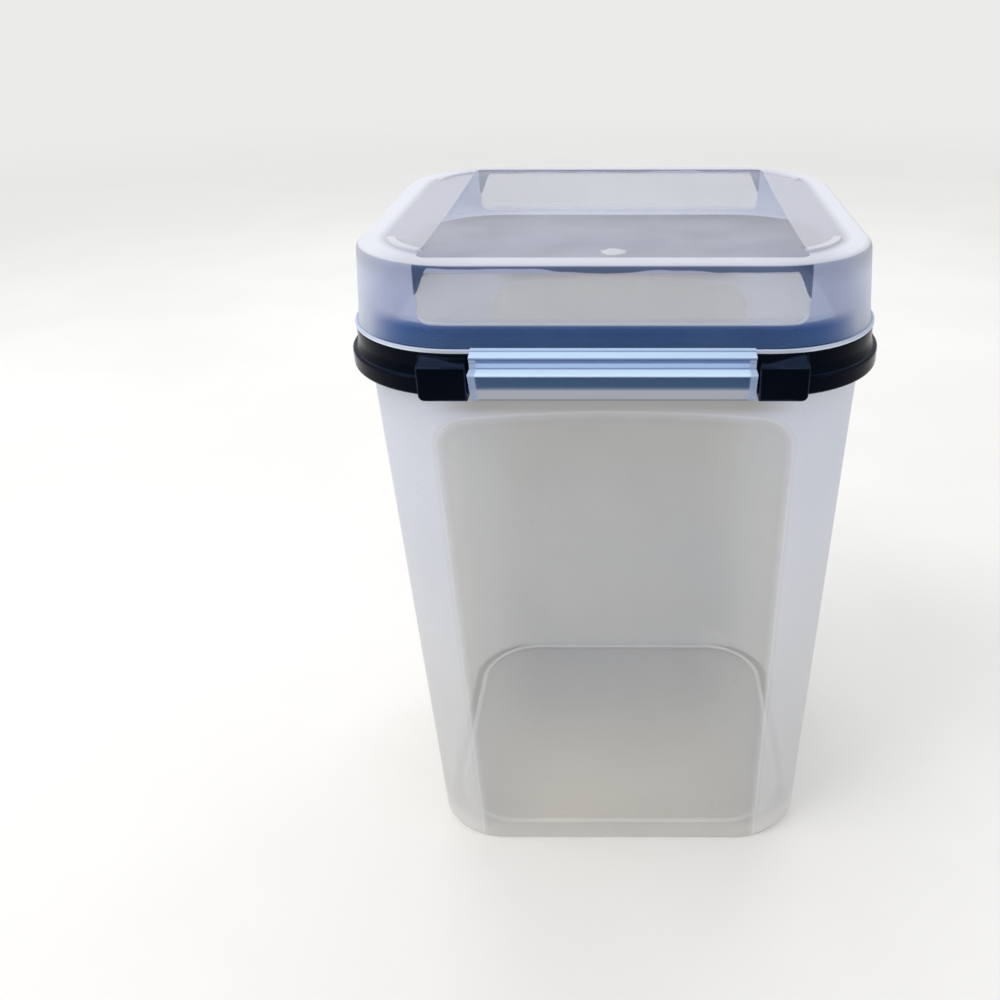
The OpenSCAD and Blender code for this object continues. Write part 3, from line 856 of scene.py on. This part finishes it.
def lid_cover(f, at):
    pane = f.fade(at.clouds, 0.35, 0.65, 0.18, 0.28)
    pane = f.math("ADD", pane, f.product(at.top_window, f.fade(at.y, 0.02, -0.05, 0.0, 0.26)))
    cover = f.number(at.window, 0.86, pane)
    cover = f.number(at.low_down, cover, 0.9)
    cover = f.number(at.skirt, cover, f.fade(at.across, 0.055, 0.1, 0.34, 0.48))
    cover = f.number(at.line, cover, 0.85)
    cover = f.math("ADD", cover, f.product(at.sill, 0.2))
    cover = f.number(at.flange, cover, f.number(at.skirt, 0.72, 0.34))
    cover = f.number(at.fittings, cover, f.number(at.front, 0.72, 0.95))
    cover = f.number(at.rim, cover, 0.95)
    return f.math("ADD", cover, f.product(at.white, 0.3), clamp=True)


def lid_finish():
    f = Finish("frosted_lid")
    at = lid_places(f)
    scuffs = f.noise(260, 4, 0.7, (1, 0.4, 1))
    rough = f.number(at.window, 0.42, 0.1)
    rough = f.math("ADD", rough, f.fade(scuffs, 0.45, 0.75, 0.0, 0.14))
    wave = f.bump(f.noise(16, 2), 0.0012, 0.5)
    skin = f.bump(f.noise(2600, 2), 0.00005, 0.3, wave)
    glow = f.number(at.round_corner, 0.22, 0.4)
    glow = f.number(f.math("MAXIMUM", at.rim, at.fittings), glow, 0.08)
    tint = f.colours(at.top_window, (0.86, 0.86, 0.865, 1), (0.96, 0.95, 0.945, 1))
    return f.surface(hazy(f, lid_tone(f, at), lid_cover(f, at), rough, skin, glow, tint))


def flap_finish():
    """Clear plastic with a band of colour for each of the flap's steps. The shelf's pale band is a
    painted reflection of the sky above it, and the crease at the neck's foot is painted shade.
    """
    f = Finish("clear_latch")
    x, y, z = f.axes()
    shelf_z = latch_z - shelf_drop
    bead = f.fade(z, (latch_z - 0.9) * MM, (latch_z - 0.6) * MM)
    neck = f.fade(z, (shelf_z + 0.05) * MM, (shelf_z + 0.2) * MM)
    # Painted shade in the crease at the foot of the neck
    crease = f.product(neck, f.fade(z, (shelf_z + 1.0) * MM, (shelf_z + 0.6) * MM))
    shelf = f.fade(z, (shelf_z - 1.4) * MM, (shelf_z - 0.9) * MM)
    low = f.fade(z, (latch_z - 10.6) * MM, (latch_z - 12.8) * MM)
    foot = f.fade(z, (latch_z - flap_h + 0.9) * MM, (latch_z - flap_h + 0.5) * MM)
    end = f.fade(f.math("ABSOLUTE", x), (flap_w / 2 - 3.6) * MM, (flap_w / 2 - 2.8) * MM)
    streaks = f.noise(90, 3, 0.6, (0.05, 1, 1))
    tone = f.colours(f.fade(streaks, 0.35, 0.7), rgb(84, 122, 172), rgb(104, 142, 190))
    tone = f.colours(low, tone, rgb(216, 219, 229))
    tone = f.colours(foot, tone, rgb(150, 154, 168))
    # Painted reflection of the sky on the shelf's pale band
    tone = f.colours(shelf, tone, rgb(214, 236, 255))
    tone = f.colours(neck, tone, rgb(190, 214, 248))
    tone = f.colours(crease, tone, rgb(134, 156, 200))
    tone = f.colours(bead, tone, rgb(104, 126, 172))
    tone = f.colours(f.product(end, 0.8), tone, rgb(178, 198, 232))
    cover = f.number(low, 0.42, 0.7)
    cover = f.number(shelf, cover, 0.97)
    cover = f.number(end, cover, 0.86)
    rough = f.fade(f.noise(320, 4, 0.7, (0.2, 1, 1)), 0.35, 0.75, 0.08, 0.24)
    skin = f.bump(f.noise(700, 3, 0.6, (0.3, 1, 1)), 0.00008, 0.3)
    glow = f.number(shelf, 0.3, 0.04)
    return f.surface(hazy(f, tone, cover, rough, skin, glow))


def black_finish(name, light=rgb(3, 6, 16), rough_low=0.12, rough_high=0.3, ridge_highlight=0.0):
    """Moulded black plastic or rubber. The last argument is how much paler its ridges are, a
    painted highlight. Where it is set, its level tops are a little paler and bluer too, a painted
    sky reflection."""
    f = Finish(name)
    clouds = f.noise(35, 4)
    scuffs = f.noise(420, 5, 0.75, (1, 1, 0.35))
    tone = f.colours(f.fade(clouds, 0.3, 0.75), rgb(1, 3, 10), light)
    if ridge_highlight:
        # Painted highlight along the ridges: they are paler, broken up by noise
        ridges = f.fade(f.add("NewGeometry", out="Pointiness"), 0.51, 0.57, 0.0, ridge_highlight)
        broken = f.fade(f.noise(90, 4), 0.3, 0.6, 0.35, 1.0)
        tone = f.colours(f.product(ridges, broken), tone, rgb(70, 84, 112))
        # Painted reflection of the sky on the level tops: paler and bluer
        facing_up = f.parts(f.add("TexCoord", out="Normal"))[2]
        tone = f.colours(f.fade(facing_up, 0.88, 0.96, 0.0, 0.8), tone, rgb(24, 36, 56))
    rough = f.fade(scuffs, 0.4, 0.8, rough_low, rough_high)
    wave = f.bump(f.noise(30, 2), 0.0008, 0.35)
    skin = f.bump(f.noise(1800, 3), 0.00005, 0.35, wave)
    shader = f.add("BsdfPrincipled", {
        "Base Color": tone, "Roughness": rough, "Normal": skin, "IOR": 1.5,
        "Specular IOR Level": 0.05, "Specular Tint": (0.42, 0.6, 1.0, 1),
    })
    return f.surface(shader)


def gasket_finish():
    f = Finish("clear_rubber")
    tone = f.colours(f.fade(f.noise(120, 4), 0.3, 0.7), rgb(196, 200, 206), rgb(214, 217, 222))
    rough = f.fade(f.noise(500, 3), 0.3, 0.7, 0.42, 0.6)
    skin = f.bump(f.noise(1500, 3), 0.00006, 0.4)
    cover = f.fade(f.noise(60, 3), 0.3, 0.7, 0.7, 0.85)
    return f.surface(hazy(f, tone, cover, rough, skin))


def floor_finish():
    f = Finish("pale_floor")
    tone = f.colours(f.fade(f.noise(3, 4), 0.35, 0.7), rgb(229, 227, 223), rgb(234, 232, 229))
    skin = f.bump(f.noise(60, 5), 0.0004, 0.15)
    near = f.add("BsdfPrincipled", {"Base Color": tone, "Roughness": 0.75, "Normal": skin})
    # Far away it takes the background's colour for the rays that see it, so no horizon shows
    far = f.fade(f.vector("LENGTH", f.point, out="Value"), 1.0, 3.0)
    plain = f.add("Emission", {"Color": BACKGROUND, "Strength": 1.0})
    return f.surface(f.add("MixShader", {0: f.product(far, f.seen()), 1: near, 2: plain}))


# ---------------------------------------------------------------- the scene


def dress(body, rides, node):
    """Makes the piece stand for a CAD node and move with a body."""
    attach(body, rides)
    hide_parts(node)


def dress_node(name, material):
    """Gives a CAD node that stays in view a finish of its own."""
    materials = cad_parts[name].data.materials
    materials.clear()
    materials.append(material)


def add_camera():
    """The camera as solved from the outlines of the bin in the photograph."""
    picture, focal, axis_column = 1000, 991.7, 630.5  # pixels
    data = bpy.data.cameras.new("camera")
    data.sensor_width = 36
    data.lens = focal / picture * data.sensor_width
    data.shift_x = (picture / 2 - axis_column) / picture
    data.clip_end = 60
    heading, pitch, roll = (math.radians(a) for a in (0.266, 29.119, -0.097))
    turn = Matrix.Rotation(heading, 4, "Z") @ Matrix.Rotation(math.pi / 2 - pitch, 4, "X")
    spot = Matrix.Translation((0.0096, -0.5266, 0.4755))
    camera = bpy.data.objects.new("camera", data)
    camera.matrix_world = spot @ turn @ Matrix.Rotation(roll, 4, "Z")
    bpy.context.scene.collection.objects.link(camera)
    bpy.context.scene.camera = camera


def add_lamp(name, spot, aim, size, power, colour):
    data = bpy.data.lights.new(name, "AREA")
    data.shape, data.size, data.size_y = "RECTANGLE", *size
    data.energy, data.color = power, colour
    lamp = bpy.data.objects.new(name, data)
    lamp.location = spot
    lamp.rotation_euler = (Vector(aim) - Vector(spot)).to_track_quat("-Z", "Y").to_euler()
    bpy.context.scene.collection.objects.link(lamp)


def add_floor():
    """A round floor of rings, which widen outwards."""
    bm = bmesh.new()
    around = 48
    turns = [2 * math.pi * k / around for k in range(around)]
    last = [bm.verts.new((0, 0, 0))] * around
    for r in (500, 1200, 3000, 8000, 25000):
        ring = [bm.verts.new((r * math.cos(t), r * math.sin(t), 0)) for t in turns]
        for k in range(around):
            following = (k + 1) % around
            corners = dict.fromkeys((last[k], ring[k], ring[following], last[following]))
            bm.faces.new(list(corners))
        last = ring
    floor = finish_mesh("floor", bm, [floor_finish()])


def add_world():
    """A pale room, brighter overhead than at the horizon, with a plain background."""
    world = bpy.data.worlds.new("studio")
    bpy.context.scene.world = world
    nodes = Nodes(world)
    height = nodes.parts(nodes.add("TexCoord", out="Generated"))[2]
    strength = nodes.add("MapRange", {0: height, 1: 0.0, 2: 0.8, 3: 0.42, 4: 0.95})
    sky = nodes.add("Background", {"Color": (0.96, 0.975, 1.0, 1), "Strength": strength})
    plain = nodes.add("Background", {"Color": BACKGROUND})
    shader = nodes.add("MixShader", {0: nodes.seen(), 1: sky, 2: plain})
    output = nodes.tree.nodes.new("ShaderNodeOutputWorld")
    nodes.tree.links.new(shader, output.inputs["Surface"])


bpy.context.scene.view_settings.view_transform = "Standard"
add_camera()
add_floor()
add_world()
add_lamp("key", (-1.0, -0.5, 1.7), (0, 0, 0.2), (1.2, 1.2), 14, (1.0, 0.985, 0.96))
add_lamp("fill", (1.5, -1.2, 1.1), (0, 0, 0.2), (1.0, 1.2), 0.8, (0.95, 0.97, 1.0))
add_lamp("back", (0, 1.2, 1.7), (0, 0, 0.3), (2.2, 0.7), 12, (0.94, 0.97, 1.0))

tub_skins = [tub_finish(), inside_finish("tub_inside", 0.06, 0.14)]
lid_skins = [lid_finish(), inside_finish("lid_inside", 0.04, 0.1)]
dress(make_tub(tub_skins), "bin", "bin_body")
dress(make_collar(black_finish("black_collar", ridge_highlight=0.35)), "bin", "collar_ring")
dress(make_lid(lid_skins), "lid", "lid_dome")
dress(make_flap(flap_finish()), "latch", "latch_flap")
dress_node("collar_gasket", gasket_finish())
dress_node("lid_seal", black_finish("dark_rubber", rgb(4, 7, 17), 0.3, 0.45))
pins = black_finish("black_pins")
dress_node("hinge_pin_left", pins)
dress_node("hinge_pin_right", pins)
